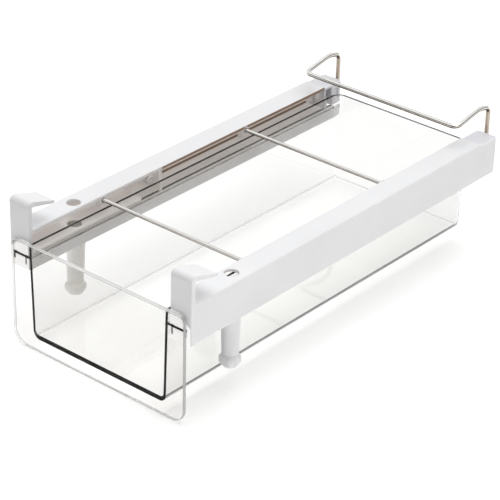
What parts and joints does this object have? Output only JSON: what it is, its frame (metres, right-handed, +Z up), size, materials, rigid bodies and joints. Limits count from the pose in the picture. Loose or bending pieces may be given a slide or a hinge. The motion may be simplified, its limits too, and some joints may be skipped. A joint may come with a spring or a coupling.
{
  "type": "under-shelf drawer",
  "caption": "Clear pull-out drawer that hangs under a refrigerator shelf: rails with front hooks, a rear wire hook and screw jacks that clamp the shelf.",
  "frame": {"origin": "on the symmetry plane, level with the rails' top faces (the shelf's underside) and with the rear faces of the front hooks (the shelf's front edge)", "axes": "+X across to the right seen from the front, +Y back along the shelf, +Z up; the drawer pulls out towards -Y"},
  "size_m": [0.1672, 0.3511, 0.114],
  "materials": {
    "rail_plastic": "satin white moulding",
    "cap_plastic": "satin white moulding",
    "jack_plastic": "satin white moulding",
    "roller_plastic": "natural slippery plastic",
    "clear_plastic": "clear, polished",
    "clear_panel": "clear, polished",
    "polished_steel": "polished",
    "wire_steel": "polished",
    "pin_steel": "turned",
    "pad_rubber": "soft, dark"
  },
  "bodies": {
    "frame": {"rail_left": "rail_plastic", "rail_right": "rail_plastic", "end_cap_left": "cap_plastic", "end_cap_right": "cap_plastic", "rod_front": "polished_steel", "rod_rear": "polished_steel", "rear_wire_hook": "wire_steel", "roller_axles": "pin_steel", "jack_sleeve_left": "rail_plastic", "jack_sleeve_right": "rail_plastic"},
    "drawer": {"drawer_bin": "clear_plastic", "front_panel": "clear_panel"},
    "roller_fl": {"roller_front_left": "roller_plastic"},
    "roller_fr": {"roller_front_right": "roller_plastic"},
    "roller_rl": {"roller_rear_left": "roller_plastic"},
    "roller_rr": {"roller_rear_right": "roller_plastic"},
    "lift_left": {"jack_plunger_left": "jack_plastic", "jack_pad_left": "pad_rubber"},
    "lift_right": {"jack_plunger_right": "jack_plastic", "jack_pad_right": "pad_rubber"},
    "turn_left": {"jack_knob_left": "jack_plastic", "jack_screw_left": "pin_steel"},
    "turn_right": {"jack_knob_right": "jack_plastic", "jack_screw_right": "pin_steel"}
  },
  "joints": [
    {"name": "drawer_slide", "type": "slide", "parent": "frame", "child": "drawer", "axis": [0, -1, 0], "range_m": [0, 0.2]},
    {"name": "roller_spin_fl", "type": "hinge", "parent": "frame", "child": "roller_fl", "pos_m": [-0.0659, 0.1173, -0.0058], "axis": [1, 0, 0], "continuous": true},
    {"name": "roller_spin_fr", "type": "hinge", "parent": "frame", "child": "roller_fr", "pos_m": [0.0659, 0.1173, -0.0058], "axis": [1, 0, 0], "continuous": true},
    {"name": "roller_spin_rl", "type": "hinge", "parent": "frame", "child": "roller_rl", "pos_m": [-0.0659, 0.309, -0.0058], "axis": [1, 0, 0], "continuous": true},
    {"name": "roller_spin_rr", "type": "hinge", "parent": "frame", "child": "roller_rr", "pos_m": [0.0659, 0.309, -0.0058], "axis": [1, 0, 0], "continuous": true},
    {"name": "knob_turn_left", "type": "hinge", "parent": "frame", "child": "turn_left", "pos_m": [-0.0732, 0.0476, -0.0627], "axis": [0, 0, -1], "range_deg": [0, 2341]},
    {"name": "jack_lift_left", "type": "slide", "parent": "frame", "child": "lift_left", "axis": [0, 0, 1], "range_m": [0, 0.026]},
    {"name": "knob_turn_right", "type": "hinge", "parent": "frame", "child": "turn_right", "pos_m": [0.0732, 0.0476, -0.0627], "axis": [0, 0, -1], "range_deg": [0, 2341]},
    {"name": "jack_lift_right", "type": "slide", "parent": "frame", "child": "lift_right", "axis": [0, 0, 1], "range_m": [0, 0.026]}
  ],
  "couplings": [
    {"joint": "roller_spin_fl", "follows": "drawer_slide", "rad_per_m": -294.12},
    {"joint": "roller_spin_fr", "follows": "drawer_slide", "rad_per_m": -294.12},
    {"joint": "roller_spin_rl", "follows": "drawer_slide", "rad_per_m": -294.12},
    {"joint": "roller_spin_rr", "follows": "drawer_slide", "rad_per_m": -294.12},
    {"joint": "knob_turn_left", "follows": "jack_lift_left", "rad_per_m": 1570.8},
    {"joint": "knob_turn_right", "follows": "jack_lift_right", "rad_per_m": 1570.8}
  ]
}
